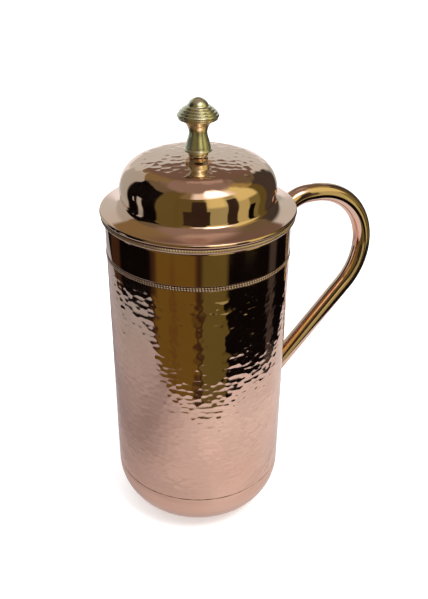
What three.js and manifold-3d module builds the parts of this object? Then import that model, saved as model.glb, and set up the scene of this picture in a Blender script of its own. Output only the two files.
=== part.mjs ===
// A lidded water jug of hammered copper with a bent tube handle and a turned brass knob.
// Units are millimetres. +Z is up, the origin is the centre of the base on the table,
// and the handle stands out along +X.

import * as THREE from 'three';
import { mergeVertices } from 'three/addons/utils/BufferGeometryUtils.js';
import Module from 'manifold-3d';

const wasm = await Module();
wasm.setup();

// ---------------------------------------------------------------- driving dimensions

const GAP = 0.3; // between two pieces that touch
const ROUND_SIDES = 48; // sides of a large turned piece
const SMALL_SIDES = 32; // sides of a small turned piece

const BODY_RADIUS = 57; // outside of the hammered wall
const BODY_SHEET = 0.9;
const BASE_ROUNDING = 30; // outside radius of the turn from wall to base
const SEAM_HEIGHT = 34; // where the base cup meets the wall
const SPIGOT_HEIGHT = 5; // how far the cup reaches up inside the wall
const WALL_TOP = 216;
const NECK_DEPTH = 0.9; // how far the wall steps in under the sleeve and the bead

const BAND_SHEET = 0.6; // plain sleeve soldered round the mouth
const BAND_BOTTOM = 194.6;
const RING_BOTTOM = 215.2; // milled ring that caps the mouth
const RIM_HEIGHT = 218.7;
const RING_BULGE = 2.4;
const BEAD_HEIGHT = 2.4; // milled bead along the lower edge of the sleeve
const BEAD_BULGE = 1.0;
const BEAD_FOOT = 0.1; // upright foot of the bead, below and above its half round

const TUBE_RADIUS = 6; // handle tube
const TUBE_WALL = 1;
const TUBE_SIDES = 16;
const TUBE_STEPS = 46;
const HANDLE_TOP = 215.7; // height of the tube's centre line at its highest
const SHOULDER_BEND = { centre: 78.5, radius: 23.7, startAngle: 30 };
const GRIP_BEND = { centre: 83, radius: 43.5, endAngle: 43.5 };
const TUBE_OVERRUN = 8; // how far inside the wall the tube's line starts and ends
const BRAZE_WIDTH = 1.7;
const BRAZE_HEIGHT = 1.4;

const LID_SHEET = 0.8;
const LID_RADIUS = 60; // outside of the rolled edge
const ROLL_RADIUS = 1.4;
const ROLL_START = 70; // direction in degrees, from the roll's centre, where the flange joins it
const ROLL_END = -205;
const DOME_RADIUS = 47.4;
const DOME_FOOT = 225.4; // where the flange meets the dome
const FOOT_ROUNDING = 0.6;
const DOME_SHOULDER = { height: 233.4, radius: 17.2 };
const DOME_TOP = 252;
const COLLAR_RADIUS = 53.9; // skirt that centres the lid in the mouth
const COLLAR_BOTTOM = 206.5;
const COLLAR_TOP = 221.6; // under the sloping flange
const COLLAR_LEAD_IN = 0.8;

const SCREW_RADIUS = 2.5; // M5
const SCREW_HOLE = SCREW_RADIUS + GAP;
const SCREW_HEAD = { radius: 4.75, height: 2.8, rounding: 1, slotWidth: 1.3, slotDepth: 1.4 };
const SCREW_POINT = 1; // chamfer at the screw's tip, and its distance from the end of the hole
const WASHER = { radius: 7.5, thickness: 1.2 };
const SPACER = { radius: 6.1, height: 2.6, bulge: 0.7 };
const KNOB_TOP = 286.2;
const KNOB_HOLE_DEPTH = 12.5;
const KNOB_WAIST = KNOB_TOP - 20; // height of the narrowest place
const KNOB_HEAD = KNOB_TOP - 10.5; // height of the widest ring

// The knob's outline, as distances from the axis and heights above its foot, waist or head.
const KNOB_BELL = [[7.6, 0], [8.4, 0.6], [8.3, 1.4], [7, 4.9], [5.9, 8.2]];
const KNOB_NECK = [[5.4, 0], [5.7, 2], [6.7, 4.4], [8.4, 6.3]];
const KNOB_UNDERCUT = [[10.4, -2.2]];
const WIDEST_RING = { radius: 10.9, height: 0, size: 1.4 };
const UPPER_RINGS = [
  { radius: 9.9, height: 2, size: 1.1 },
  { radius: 8.2, height: 3.4, size: 1.1 },
  { radius: 6.2, height: 4.7, size: 1.2 },
];
const BUTTON_RADIUS = 6.4;

// ---------------------------------------------------------------- sizes that follow

const WALL_INSIDE = BODY_RADIUS - BODY_SHEET;
const SPIGOT_RADIUS = WALL_INSIDE - GAP;
const NECK_RADIUS = BODY_RADIUS - NECK_DEPTH;
const NECK_INSIDE = NECK_RADIUS - BODY_SHEET;
const SLEEVE_INSIDE = NECK_RADIUS + GAP;
const BAND_RADIUS = SLEEVE_INSIDE + BAND_SHEET;
const BEAD_TOP = BAND_BOTTOM - GAP;
const BEAD_BOTTOM = BEAD_TOP - BEAD_HEIGHT;
const NECK_BOTTOM = BEAD_BOTTOM - GAP;
const RING_RADIUS = BAND_RADIUS + RING_BULGE;
const SPACER_BOTTOM = DOME_TOP + GAP;
const KNOB_BOTTOM = SPACER_BOTTOM + SPACER.height + GAP;
const WASHER_TOP = DOME_TOP - LID_SHEET - GAP;
const WASHER_BOTTOM = WASHER_TOP - WASHER.thickness;

// ---------------------------------------------------------------- materials

function metal(colour, roughness) {
  return new THREE.MeshStandardMaterial({ color: colour, metalness: 1, roughness });
}

// ---------------------------------------------------------------- shape helpers

function at(radius, height) {
  return new THREE.Vector2(radius, height);
}

// Points along an arc, with angles in degrees anticlockwise from the outward direction.
function arc(centre, radius, fromAngle, toAngle, steps) {
  const points = [];
  for (let i = 0; i <= steps; i += 1) {
    const angle = THREE.MathUtils.degToRad(fromAngle + ((toAngle - fromAngle) * i) / steps);
    points.push(at(centre.x + radius * Math.cos(angle), centre.y + radius * Math.sin(angle)));
  }
  return points;
}

// A solid of revolution about Z. The section runs anticlockwise, and closes on itself
// unless both of its ends are on the axis.
function turned(section, sides) {
  const outline = [...section];
  const endsOnAxis = section[0].x === 0 && section[section.length - 1].x === 0;
  if (!endsOnAxis) {
    outline.push(section[0].clone());
  }
  const geometry = new THREE.LatheGeometry(outline, sides);
  geometry.rotateX(Math.PI / 2);
  return geometry;
}

function toSolid(geometry) {
  const bare = geometry.clone();
  bare.deleteAttribute('normal');
  bare.deleteAttribute('uv');
  const merged = mergeVertices(bare);
  return new wasm.Manifold(
    new wasm.Mesh({
      numProp: 3,
      vertProperties: merged.attributes.position.array,
      triVerts: Uint32Array.from(merged.index.array),
    }),
  );
}

function toGeometry(solid) {
  const mesh = solid.getMesh();
  const geometry = new THREE.BufferGeometry();
  geometry.setAttribute('position', new THREE.BufferAttribute(mesh.vertProperties, 3));
  geometry.setIndex(new THREE.BufferAttribute(mesh.triVerts, 1));
  geometry.computeVertexNormals();
  return geometry;
}

// ---------------------------------------------------------------- jug body

// The wall steps in near its top, so that the sleeve lies nearly flush with it.
function hammeredWall() {
  const stepBottom = NECK_BOTTOM - NECK_DEPTH;
  const insideDrop = 0.4 * BODY_SHEET; // keeps the sheet's thickness round the step
  return turned(
    [
      at(WALL_INSIDE, SEAM_HEIGHT),
      at(BODY_RADIUS, SEAM_HEIGHT),
      at(BODY_RADIUS, stepBottom),
      at(NECK_RADIUS, NECK_BOTTOM),
      at(NECK_RADIUS, WALL_TOP),
      at(NECK_INSIDE, WALL_TOP),
      at(NECK_INSIDE, NECK_BOTTOM - insideDrop),
      at(WALL_INSIDE, stepBottom - insideDrop),
    ],
    ROUND_SIDES,
  );
}

// The cup's rim is stepped in, so that the wall slips down over it.
function baseCup() {
  const turnCentre = at(BODY_RADIUS - BASE_ROUNDING, BASE_ROUNDING);
  const insideRounding = BASE_ROUNDING - BODY_SHEET;
  const ledge = SEAM_HEIGHT - GAP;
  const spigotTop = SEAM_HEIGHT + SPIGOT_HEIGHT;
  const spigotInside = SPIGOT_RADIUS - BODY_SHEET;
  return turned(
    [
      at(0, 0),
      ...arc(turnCentre, BASE_ROUNDING, -90, 0, 8),
      at(BODY_RADIUS, ledge),
      at(SPIGOT_RADIUS, ledge),
      at(SPIGOT_RADIUS, spigotTop),
      at(spigotInside, spigotTop),
      at(spigotInside, ledge - BODY_SHEET),
      ...arc(turnCentre, insideRounding, 0, -90, 8),
      at(0, BODY_SHEET),
    ],
    ROUND_SIDES,
  );
}

function mouthBand() {
  const top = RING_BOTTOM - GAP;
  return turned(
    [
      at(SLEEVE_INSIDE, BAND_BOTTOM),
      at(BAND_RADIUS, BAND_BOTTOM),
      at(BAND_RADIUS, top),
      at(SLEEVE_INSIDE, top),
    ],
    ROUND_SIDES,
  );
}

// A half-round section whose flat side stands at the given radius.
function halfRound(radius, bottom, top, bulge) {
  const middle = (bottom + top) / 2;
  const halfHeight = (top - bottom) / 2;
  const halfCircle = arc(at(0, 0), 1, -90, 90, 6);
  return halfCircle.map((point) => at(radius + bulge * point.x, middle + halfHeight * point.y));
}

function milledBead() {
  return turned(
    [
      at(SLEEVE_INSIDE, BEAD_BOTTOM),
      ...halfRound(SLEEVE_INSIDE + BEAD_FOOT, BEAD_BOTTOM, BEAD_TOP, BEAD_BULGE),
      at(SLEEVE_INSIDE, BEAD_TOP),
    ],
    ROUND_SIDES,
  );
}

// The ring hangs on the wall's upper edge by a lip and bulges out over the sleeve.
function mouthRing() {
  const lipBottom = WALL_TOP + GAP;
  const lipRounding = 0.4;
  return turned(
    [
      at(NECK_INSIDE, lipBottom),
      at(SLEEVE_INSIDE, lipBottom),
      at(SLEEVE_INSIDE, RING_BOTTOM),
      ...halfRound(BAND_RADIUS, RING_BOTTOM, RIM_HEIGHT, RING_BULGE),
      at(NECK_INSIDE + lipRounding, RIM_HEIGHT),
      at(NECK_INSIDE, RIM_HEIGHT - lipRounding),
    ],
    ROUND_SIDES,
  );
}

// ---------------------------------------------------------------- handle

// The tube's centre line in the XZ plane: up from the band, over a tight shoulder bend,
// round the grip, and down a straight diagonal to the wall.
class HandleLine extends THREE.Curve {
  constructor() {
    super();
    const insideWall = BODY_RADIUS - TUBE_OVERRUN;
    const start = THREE.MathUtils.degToRad(SHOULDER_BEND.startAngle);
    const end = THREE.MathUtils.degToRad(GRIP_BEND.endAngle);
    const shoulderHeight = HANDLE_TOP - SHOULDER_BEND.radius;
    const gripHeight = HANDLE_TOP - GRIP_BEND.radius;
    const upright = Math.PI / 2;
    const bendStart = at(
      SHOULDER_BEND.centre - SHOULDER_BEND.radius * Math.sin(start),
      shoulderHeight + SHOULDER_BEND.radius * Math.cos(start),
    );
    const bendEnd = at(
      GRIP_BEND.centre + GRIP_BEND.radius * Math.cos(end),
      gripHeight - GRIP_BEND.radius * Math.sin(end),
    );
    const shoulder = [SHOULDER_BEND.centre, shoulderHeight, SHOULDER_BEND.radius];
    const grip = [GRIP_BEND.centre, gripHeight, GRIP_BEND.radius];
    const line = new THREE.Path();
    line.moveTo(insideWall, bendStart.y - (bendStart.x - insideWall) * Math.tan(start));
    line.lineTo(bendStart.x, bendStart.y);
    line.absarc(...shoulder, upright + start, upright, true);
    line.lineTo(GRIP_BEND.centre, HANDLE_TOP);
    line.absarc(...grip, upright, -end, true);
    line.lineTo(insideWall, bendEnd.y - (bendEnd.x - insideWall) / Math.tan(end));
    this.line = line;
  }

  getPoint(t, target = new THREE.Vector3()) {
    const point = this.line.getPoint(t);
    return target.set(point.x, 0, point.y);
  }
}

const handleLine = new HandleLine();

// The outside of the jug, grown by the gap, from which a piece on the wall is cut back.
const jugOutside = toSolid(
  turned(
    [
      at(0, 0),
      at(BODY_RADIUS + GAP, 0),
      at(BODY_RADIUS + GAP, BEAD_BOTTOM - GAP),
      at(SLEEVE_INSIDE + BEAD_BULGE + GAP, BEAD_BOTTOM - GAP),
      at(SLEEVE_INSIDE + BEAD_BULGE + GAP, BAND_BOTTOM),
      at(BAND_RADIUS + GAP, BAND_BOTTOM),
      at(BAND_RADIUS + GAP, RING_BOTTOM - GAP),
      at(RING_RADIUS + GAP, RING_BOTTOM - GAP),
      at(RING_RADIUS + GAP, RIM_HEIGHT + GAP),
      at(0, RIM_HEIGHT + GAP),
    ],
    ROUND_SIDES,
  ),
);

function rodAlongHandle(radius, boreRadius = 0) {
  const section = new THREE.Shape();
  section.absarc(0, 0, radius, 0, 2 * Math.PI);
  if (boreRadius > 0) {
    const bore = new THREE.Path();
    bore.absarc(0, 0, boreRadius, 0, 2 * Math.PI);
    section.holes.push(bore);
  }
  const options = { steps: TUBE_STEPS, curveSegments: TUBE_SIDES / 2, extrudePath: handleLine };
  return toSolid(new THREE.ExtrudeGeometry(section, options));
}

function handleTube() {
  return toGeometry(rodAlongHandle(TUBE_RADIUS, TUBE_RADIUS - TUBE_WALL).subtract(jugOutside));
}

// A saddle of filler metal round one end of the tube, lying on the jug at the given radius.
function braze(seatRadius, bottom, top) {
  const outside = seatRadius + GAP + BRAZE_HEIGHT;
  const disc = [at(0, bottom), at(outside, bottom), at(outside, top), at(0, top)];
  const layer = toSolid(turned(disc, ROUND_SIDES));
  const thickRod = rodAlongHandle(TUBE_RADIUS + BRAZE_WIDTH);
  const clearRod = rodAlongHandle(TUBE_RADIUS + GAP);
  return toGeometry(thickRod.intersect(layer).subtract(clearRod).subtract(jugOutside));
}

function upperBraze() {
  return braze(BAND_RADIUS, BAND_BOTTOM, RING_BOTTOM - GAP);
}

function lowerBraze() {
  return braze(BODY_RADIUS, SEAM_HEIGHT + SPIGOT_HEIGHT, BEAD_BOTTOM);
}

// ---------------------------------------------------------------- lid

// The crown is a shallow arc about a point on the axis that runs smoothly into the shoulder.
function crown() {
  const shoulderX = DOME_RADIUS - DOME_SHOULDER.radius;
  const rise = DOME_TOP - DOME_SHOULDER.height;
  const square = shoulderX ** 2 + rise ** 2 - DOME_SHOULDER.radius ** 2;
  const radius = square / (2 * (rise - DOME_SHOULDER.radius));
  const centre = at(0, DOME_TOP - radius);
  const joinAngle = THREE.MathUtils.radToDeg(Math.atan2(DOME_SHOULDER.height - centre.y, shoulderX));
  return { radius, centre, joinAngle };
}

// One face of the dome, from the screw hole out and down to the foot of its wall.
function domeFace(inset) {
  const { radius, centre, joinAngle } = crown();
  const crownRadius = radius - inset;
  const holeAngle = THREE.MathUtils.radToDeg(Math.acos(SCREW_HOLE / crownRadius));
  const shoulder = at(DOME_RADIUS - DOME_SHOULDER.radius, DOME_SHOULDER.height);
  return [
    ...arc(centre, crownRadius, holeAngle, joinAngle, 3),
    ...arc(shoulder, DOME_SHOULDER.radius - inset, joinAngle, 0, 6).slice(1),
  ];
}

// The flange slopes down from the dome to an edge that is rolled under, out and back.
function lidShell() {
  const rollCentre = at(LID_RADIUS - ROLL_RADIUS, RIM_HEIGHT + GAP + ROLL_RADIUS);
  const outside = [
    ...domeFace(0),
    at(DOME_RADIUS, DOME_FOOT + FOOT_ROUNDING),
    at(DOME_RADIUS + FOOT_ROUNDING, DOME_FOOT),
  ];
  const roll = arc(rollCentre, ROLL_RADIUS, ROLL_START, ROLL_END, 9);
  const rollInside = arc(rollCentre, ROLL_RADIUS - LID_SHEET, ROLL_END, ROLL_START, 7);
  const insideFoot = at(DOME_RADIUS - LID_SHEET, DOME_FOOT - FOOT_ROUNDING);
  const inside = [insideFoot, ...domeFace(LID_SHEET).reverse()];
  return turned([...outside, ...roll, ...rollInside, ...inside].reverse(), ROUND_SIDES);
}

function lidCollar() {
  const inside = COLLAR_RADIUS - LID_SHEET;
  const leadInTop = COLLAR_BOTTOM + 2 * COLLAR_LEAD_IN;
  return turned(
    [
      at(inside - COLLAR_LEAD_IN, COLLAR_BOTTOM),
      at(COLLAR_RADIUS - COLLAR_LEAD_IN, COLLAR_BOTTOM),
      at(COLLAR_RADIUS, leadInTop),
      at(COLLAR_RADIUS, COLLAR_TOP),
      at(inside, COLLAR_TOP),
      at(inside, leadInTop),
    ],
    ROUND_SIDES,
  );
}

// ---------------------------------------------------------------- knob and its fixing

function outlineFrom(pairs, height) {
  return pairs.map(([radius, rise]) => at(radius, height + rise));
}

function ringOutline(ring, fromAngle, toAngle, steps) {
  return arc(at(ring.radius, KNOB_HEAD + ring.height), ring.size, fromAngle, toAngle, steps);
}

// The knob has a bell foot, a waist, an undercut head, and rounded steps up to a button.
function knob() {
  const holeTop = KNOB_BOTTOM + KNOB_HOLE_DEPTH;
  return turned(
    [
      at(SCREW_HOLE, KNOB_BOTTOM),
      ...outlineFrom(KNOB_BELL, KNOB_BOTTOM),
      ...outlineFrom(KNOB_NECK, KNOB_WAIST),
      ...outlineFrom(KNOB_UNDERCUT, KNOB_HEAD),
      ...ringOutline(WIDEST_RING, -60, 60, 4),
      ...UPPER_RINGS.flatMap((ring) => ringOutline(ring, -10, 75, 3)),
      ...arc(at(0, KNOB_TOP - BUTTON_RADIUS), BUTTON_RADIUS, 15, 90, 5),
      at(0, holeTop),
      at(SCREW_HOLE, holeTop),
    ],
    SMALL_SIDES,
  );
}

function knobSpacer() {
  const top = SPACER_BOTTOM + SPACER.height;
  return turned(
    [
      at(SCREW_HOLE, SPACER_BOTTOM),
      ...halfRound(SPACER.radius - SPACER.bulge, SPACER_BOTTOM, top, SPACER.bulge),
      at(SCREW_HOLE, top),
    ],
    SMALL_SIDES,
  );
}

function knobWasher() {
  return turned(
    [
      at(SCREW_HOLE, WASHER_BOTTOM),
      at(WASHER.radius, WASHER_BOTTOM),
      at(WASHER.radius, WASHER_TOP),
      at(SCREW_HOLE, WASHER_TOP),
    ],
    SMALL_SIDES,
  );
}

// A pan-head screw that goes up through the washer, the lid and the spacer into the knob.
function knobScrew() {
  const headTop = WASHER_BOTTOM - GAP;
  const headBottom = headTop - SCREW_HEAD.height;
  const tip = KNOB_BOTTOM + KNOB_HOLE_DEPTH - SCREW_POINT;
  const body = toSolid(
    turned(
      [
        at(0, headBottom),
        at(SCREW_HEAD.radius - SCREW_HEAD.rounding, headBottom),
        at(SCREW_HEAD.radius, headBottom + SCREW_HEAD.rounding),
        at(SCREW_HEAD.radius, headTop),
        at(SCREW_RADIUS, headTop),
        at(SCREW_RADIUS, tip - SCREW_POINT),
        at(SCREW_RADIUS - SCREW_POINT, tip),
        at(0, tip),
      ],
      SMALL_SIDES,
    ),
  );
  const slotLength = 4 * SCREW_HEAD.radius;
  const slot = new THREE.BoxGeometry(slotLength, SCREW_HEAD.slotWidth, 2 * SCREW_HEAD.slotDepth);
  slot.translate(0, 0, headBottom);
  return toGeometry(body.subtract(toSolid(slot)));
}

// ---------------------------------------------------------------- assembly

function piece(name, geometry, material) {
  const mesh = new THREE.Mesh(geometry, material);
  mesh.name = name;
  return mesh;
}

function jugBody() {
  const group = new THREE.Group();
  group.add(
    piece('hammered_wall', hammeredWall(), metal(0xd08a62, 0.2)),
    piece('base_cup', baseCup(), metal(0xd69a74, 0.2)),
    piece('mouth_band', mouthBand(), metal(0xdda07a, 0.12)),
    piece('milled_bead', milledBead(), metal(0xc98a60, 0.25)),
    piece('mouth_ring', mouthRing(), metal(0xc98a60, 0.25)),
  );
  return group;
}

function handle() {
  const group = new THREE.Group();
  group.add(
    piece('handle_tube', handleTube(), metal(0xc9824f, 0.12)),
    piece('upper_braze', upperBraze(), metal(0xcda06a, 0.35)),
    piece('lower_braze', lowerBraze(), metal(0xcda06a, 0.35)),
  );
  return group;
}

function lid() {
  const group = new THREE.Group();
  group.add(
    piece('lid_shell', lidShell(), metal(0xdba37c, 0.15)),
    piece('lid_collar', lidCollar(), metal(0xd2946a, 0.2)),
    piece('knob', knob(), metal(0xb89a5a, 0.2)),
    piece('knob_spacer', knobSpacer(), metal(0xb89a5a, 0.25)),
    piece('knob_washer', knobWasher(), metal(0xb89a5a, 0.3)),
    piece('knob_screw', knobScrew(), metal(0xb8bbc0, 0.3)),
  );
  return group;
}

const waterJug = new THREE.Group();
waterJug.name = 'water_jug';
waterJug.add(jugBody(), handle(), lid());

export default waterJug;
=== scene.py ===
"""The look of the copper water jug: finer pieces, materials, stage and camera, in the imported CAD
frame. Lengths are in metres unless a name or comment says otherwise."""

import math

import bpy
import numpy as np
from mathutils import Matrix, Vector


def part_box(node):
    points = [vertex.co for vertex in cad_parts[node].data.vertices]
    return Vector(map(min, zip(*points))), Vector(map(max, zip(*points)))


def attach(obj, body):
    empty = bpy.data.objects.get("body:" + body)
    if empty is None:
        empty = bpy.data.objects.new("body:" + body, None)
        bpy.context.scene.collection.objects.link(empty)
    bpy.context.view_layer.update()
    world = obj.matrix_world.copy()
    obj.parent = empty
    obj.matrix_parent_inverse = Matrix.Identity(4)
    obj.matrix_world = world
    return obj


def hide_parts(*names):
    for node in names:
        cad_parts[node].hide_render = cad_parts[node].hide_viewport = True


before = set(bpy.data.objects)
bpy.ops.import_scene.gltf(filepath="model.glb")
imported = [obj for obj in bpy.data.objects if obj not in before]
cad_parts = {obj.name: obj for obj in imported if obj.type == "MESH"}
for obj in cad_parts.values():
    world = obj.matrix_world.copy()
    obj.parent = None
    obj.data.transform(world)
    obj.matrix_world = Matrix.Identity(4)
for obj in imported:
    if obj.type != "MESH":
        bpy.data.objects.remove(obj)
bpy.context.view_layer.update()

MM = 0.001
TURN = 2 * math.pi

# ------------------------------------------------------------------ sizes from the frame


def reach(node):
    """Largest distance of a CAD node from the jug's axis."""
    points = np.array([v.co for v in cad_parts[node].data.vertices])
    return float(np.hypot(points[:, 0], points[:, 1]).max())


def bottom(node):
    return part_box(node)[0].z


def top(node):
    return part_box(node)[1].z


GAP = 0.3 * MM
SHEET = 0.9 * MM
BAND_SHEET = 0.6 * MM
WALL_R = reach("hammered_wall")
WALL_BOTTOM = bottom("hammered_wall")
WALL_TOP = top("hammered_wall")
BAND_R = reach("mouth_band")
BAND_BOTTOM = bottom("mouth_band")
BAND_TOP = top("mouth_band")
BEAD_BOTTOM = bottom("milled_bead")
BEAD_TOP = top("milled_bead")
RIM = top("mouth_ring")
RING_BOTTOM = bottom("mouth_ring")
RING_R = reach("mouth_ring")
SLEEVE_INSIDE = BAND_R - BAND_SHEET
NECK_R = SLEEVE_INSIDE - GAP
NECK_INSIDE = NECK_R - SHEET
LID_R = reach("lid_shell")
COLLAR_R = reach("lid_collar")

HAMMERED_LOW = WALL_BOTTOM + 1.5 * MM
HAMMERED_HIGH = BEAD_BOTTOM - 6 * MM
PLAIN_LEVEL = 0.6  # share of the hammered area that lies below the plain sheet round it
OUT_OF_ROUND = 0.05 * MM

FOOT_R = 12 * MM
BASE_ROUNDING = 30 * MM
BEAD_TEETH = 210
RING_TEETH = 232
ROLL_R = 1.4 * MM
LID_SHEET = 0.8 * MM
DOME_R = 47.4 * MM
DOME_FOOT = 225.4 * MM
SHOULDER_R = 17.2 * MM
SHOULDER_Z = 233.4 * MM
DOME_TOP = top("lid_shell")
SCREW_HOLE = 2.8 * MM

TUBE_R = 6 * MM
TUBE_SHEET = 1 * MM
HANDLE_TOP = top("handle_tube") - TUBE_R
# Each bend: its centre's distance from the jug's axis, its radius, and how far the straight tube
# next to it leans, off level at the shoulder and off upright at the grip.
SHOULDER_BEND = (78.5 * MM, 23.7 * MM, math.radians(30))
GRIP_BEND = (83 * MM, 43.5 * MM, math.radians(43.5))
BRAZE_WIDTH = 1.9 * MM
BRAZE_HEIGHT = 1.7 * MM

# The knob, in millimetres. Outlines are (radius, height above their own level).
KNOB_SEAT_R = 7.4
KNOB_FOOT_R = 7.65
KNOB_FOOT_ROUNDING = 0.75
KNOB_HEAD_DROP = 10.6  # the level of the head's rings, below the tip
KNOB_WAIST_DROP = 20  # the level of the neck, below the tip
KNOB_BELL = [
    (7.5, 1.75), (7.65, 2.3), (7.35, 3.5), (6.95, 5.0), (6.45, 6.7), (5.95, 8.3), (5.6, 9.8),
]
KNOB_NECK = [
    (5.45, 0), (5.5, 1.0), (5.75, 2.2), (6.2, 3.4), (6.8, 4.6), (7.65, 5.7), (8.8, 6.6), (9.8, 7.3),
]
# Rings of the head: (radius, height, radius of the bead).
KNOB_RINGS = [
    (10.75, -0.9, 0.95), (11.1, 0.6, 1.2), (10.15, 2.2, 1.05), (8.6, 3.55, 1.05), (6.9, 4.75, 1.05),
]
KNOB_BUTTON_R = 6.4
KNOB_BORE = 12.5

# Facets round each turned piece.
WALL_SIDES = 376
BASE_SIDES = 192
SLEEVE_SIDES = 320
SIDES_PER_TOOTH = 7
TUBE_SIDES = 96
LID_SIDES = 288
COLLAR_SIDES = 192
KNOB_SIDES = 128
SMALL_RING_SIDES = 96

CAMERA_TURN = math.radians(-25)
CAMERA_DISTANCE = 0.4174
CAMERA_HEIGHT = 0.3889
CAMERA_PITCH = math.radians(29.26)
CAMERA_LENS = 44.05
CAMERA_SHIFT = 0.0265

# ------------------------------------------------------------------ mesh helpers


def smooth_step(x, low, high):
    t = np.clip((x - low) / (high - low), 0, 1)
    return t * t * (3 - 2 * t)


def arc(centre, radius, start, end, steps):
    """Points on an arc in the (radius, height) plane. Angles are in degrees."""
    angles = np.radians(np.linspace(start, end, steps + 1))
    return [(centre[0] + radius * math.cos(a), centre[1] + radius * math.sin(a)) for a in angles]


def sweep(start, towards, end, steps):
    """A curve that leaves its start towards a point, and reaches its end from that point."""
    corners = (start, towards, end)
    points = []
    for t in np.linspace(0, 1, steps + 1):
        weights = ((1 - t) ** 2, 2 * t * (1 - t), t * t)
        points.append(tuple(sum(w * p[i] for w, p in zip(weights, corners)) for i in (0, 1)))
    return points


def resample(outline, spacing):
    """Puts points along an outline at about the given spacing, and keeps its corners."""
    points = [outline[0]]
    for (r0, z0), (r1, z1) in zip(outline, outline[1:]):
        length = math.hypot(r1 - r0, z1 - z0)
        steps = max(1, round(length / spacing))
        for i in range(1, steps + 1):
            points.append((r0 + (r1 - r0) * i / steps, z0 + (z1 - z0) * i / steps))
    return points


def mesh_piece(name, vertices, faces, body, material, replaced):
    """One visible piece: its mesh, its material, the body it rides on and the CAD nodes it replaces."""
    mesh = bpy.data.meshes.new(name)
    mesh.from_pydata([], [], [])
    mesh.vertices.add(len(vertices))
    mesh.vertices.foreach_set("co", np.asarray(vertices, np.float32).ravel())
    faces = np.asarray(faces, np.int32)
    sides = faces.shape[1]
    mesh.loops.add(faces.size)
    mesh.loops.foreach_set("vertex_index", faces.ravel())
    mesh.polygons.add(len(faces))
    mesh.polygons.foreach_set("loop_start", np.arange(0, faces.size, sides, dtype=np.int32))
    mesh.polygons.foreach_set("loop_total", np.full(len(faces), sides, np.int32))
    mesh.update(calc_edges=True)
    mesh.validate()
    mesh.shade_smooth()
    mesh.materials.append(material)
    obj = bpy.data.objects.new(name, mesh)
    bpy.context.scene.collection.objects.link(obj)
    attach(obj, body)
    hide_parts(*replaced)


def ring_faces(rings, sides):
    """Quads of a grid of `rings` rows by `sides` columns that closes both ways."""
    row = np.arange(rings)[:, None]
    column = np.arange(sides)[None, :]
    next_row = (row + 1) % rings
    next_column = (column + 1) % sides
    a = row * sides + column
    b = row * sides + next_column
    c = next_row * sides + next_column
    d = next_row * sides + column
    return np.stack([a, b, c, d], -1).reshape(-1, 4)


def turned_points(outline, sides, offset=None):
    """Points of a section turned about Z. offset(angle, radius, height) gives each its new place."""
    angle = np.linspace(0, TURN, sides, endpoint=False)[None, :]
    radius = np.array([p[0] for p in outline])[:, None]
    height = np.array([p[1] for p in outline])[:, None]
    if offset:
        radius, height = offset(angle, radius, height)
    grid = np.stack([radius * np.cos(angle), radius * np.sin(angle), height + 0 * angle], -1)
    return grid.reshape(-1, 3)


def turned_piece(name, outline, sides, body, material, replaced, offset=None):
    """A closed section, listed anticlockwise, turned about Z."""
    points = turned_points(outline, sides, offset)
    mesh_piece(name, points, ring_faces(len(outline), sides), body, material, replaced)


# ------------------------------------------------------------------ hammer marks


def soft_minimum(values, blend):
    """The least of several surfaces, which run into each other over about `blend` metres."""
    sharpness = 1 / blend
    low = values.min(0)
    return low - np.log(np.exp(-sharpness * (values - low)).sum(0)) / sharpness


def wall_marks(angle, height, seed):
    """Rows of hammer marks on the wall: metres above the deepest mark, highest on the ridges."""
    random = np.random.default_rng(seed)
    wide, tall, ball = 5.2 * MM, 3.7 * MM, 27 * MM
    columns = round(TURN * WALL_R / wide)
    wide = TURN * WALL_R / columns
    first_row = math.floor(HAMMERED_LOW / tall) - 3
    rows = math.ceil(HAMMERED_HIGH / tall) + 4 - first_row
    across = random.uniform(-0.35, 0.35, (rows, columns)) * wide
    up = random.uniform(-0.34, 0.34, (rows, columns)) * tall
    lift = random.uniform(0, 0.045, (rows, columns)) * MM
    curve = ball * random.uniform(0.6, 1.5, (rows, columns))
    row_shift = random.uniform(0, 1, rows) * wide
    along = angle * WALL_R
    row0 = np.round(height / tall).astype(int) - first_row
    found = []
    for row_step in (-2, -1, 0, 1, 2):
        row = np.clip(row0 + row_step, 0, rows - 1)
        column0 = np.round((along - row_shift[row]) / wide).astype(int)
        for column_step in (-1, 0, 1):
            column = column0 + column_step
            index = (row, column % columns)
            dx = along - (row_shift[row] + column * wide + across[index])
            dz = height - ((row + first_row) * tall + up[index])
            found.append((dx * dx * 0.7 + dz * dz) / (2 * curve[index]) + lift[index])
    return soft_minimum(np.stack(found), 0.006 * MM)


def crown_marks(x, y, seed):
    """Larger hammer marks laid in a spiral over the lid's crown, measured as wall_marks is."""
    random = np.random.default_rng(seed)
    spacing, ball, crown_r = 5.4 * MM, 44 * MM, 50 * MM
    golden_angle = math.radians(137.508)
    at_a_time = 4000
    count = round(math.pi * crown_r ** 2 / (spacing * spacing * 0.9))
    index = np.arange(count)
    radius = crown_r * np.sqrt((index + 0.5) / count)
    angle = index * golden_angle
    centre_x = radius * np.cos(angle) + random.uniform(-0.3, 0.3, count) * spacing
    centre_y = radius * np.sin(angle) + random.uniform(-0.3, 0.3, count) * spacing
    lift = random.uniform(0, 0.03, count) * MM
    curve = ball * random.uniform(0.7, 1.3, count)
    flat_x, flat_y = x.ravel(), y.ravel()
    result = np.empty(flat_x.size)
    for start in range(0, flat_x.size, at_a_time):
        part = slice(start, start + at_a_time)
        dx = flat_x[part][None, :] - centre_x[:, None]
        dy = flat_y[part][None, :] - centre_y[:, None]
        found = (dx * dx + dy * dy) / (2 * curve[:, None]) + lift[:, None]
        result[part] = soft_minimum(found, 0.010 * MM)
    return result.reshape(x.shape)


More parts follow.
